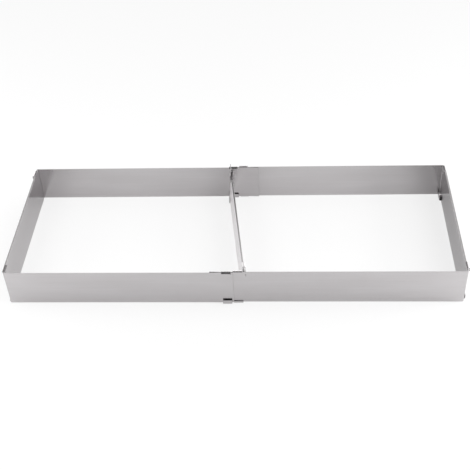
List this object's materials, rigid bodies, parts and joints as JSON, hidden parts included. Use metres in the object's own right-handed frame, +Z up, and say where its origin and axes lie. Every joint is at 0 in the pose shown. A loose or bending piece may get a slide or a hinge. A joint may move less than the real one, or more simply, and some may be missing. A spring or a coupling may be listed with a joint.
{
  "type": "adjustable rectangular cake ring",
  "caption": "Bottomless rectangular cake ring of folded steel strips that slide in each other to set length and width, with a sliding two-part divider.",
  "frame": {"origin": "middle of the ring on the surface it stands on, with the ring at full length and smallest width", "axes": "+X along the ring, +Y across it from front to back, +Z up"},
  "size_m": [0.568, 0.219, 0.0537],
  "materials": {
    "satin_steel": "satin, finely ground along the strip"
  },
  "bodies": {
    "front_left": {"front_left_corner": "satin_steel"},
    "front_right": {"front_right_corner": "satin_steel"},
    "back_left": {"back_left_corner": "satin_steel"},
    "back_right": {"back_right_corner": "satin_steel"},
    "divider_front": {"divider_front": "satin_steel"},
    "divider_back": {"divider_back": "satin_steel"}
  },
  "joints": [
    {"name": "length_slide", "type": "slide", "parent": "front_left", "child": "front_right", "axis": [1, 0, 0], "range_m": [-0.2515, 0.002]},
    {"name": "width_slide_left", "type": "slide", "parent": "front_left", "child": "back_left", "axis": [0, 1, 0], "range_m": [0, 0.1655]},
    {"name": "width_slide_right", "type": "slide", "parent": "front_right", "child": "back_right", "axis": [0, 1, 0], "range_m": [0, 0.1655]},
    {"name": "divider_slide", "type": "slide", "parent": "front_left", "child": "divider_front", "axis": [1, 0, 0], "range_m": [-0.238, 0.255]},
    {"name": "divider_extend", "type": "slide", "parent": "divider_front", "child": "divider_back", "axis": [-0.1229, 0.9924, 0], "range_m": [0, 0.1669]}
  ],
  "couplings": [
    {"joint": "width_slide_right", "follows": "width_slide_left", "ratio": 1},
    {"joint": "divider_extend", "follows": "width_slide_left", "ratio": 1.0076}
  ]
}
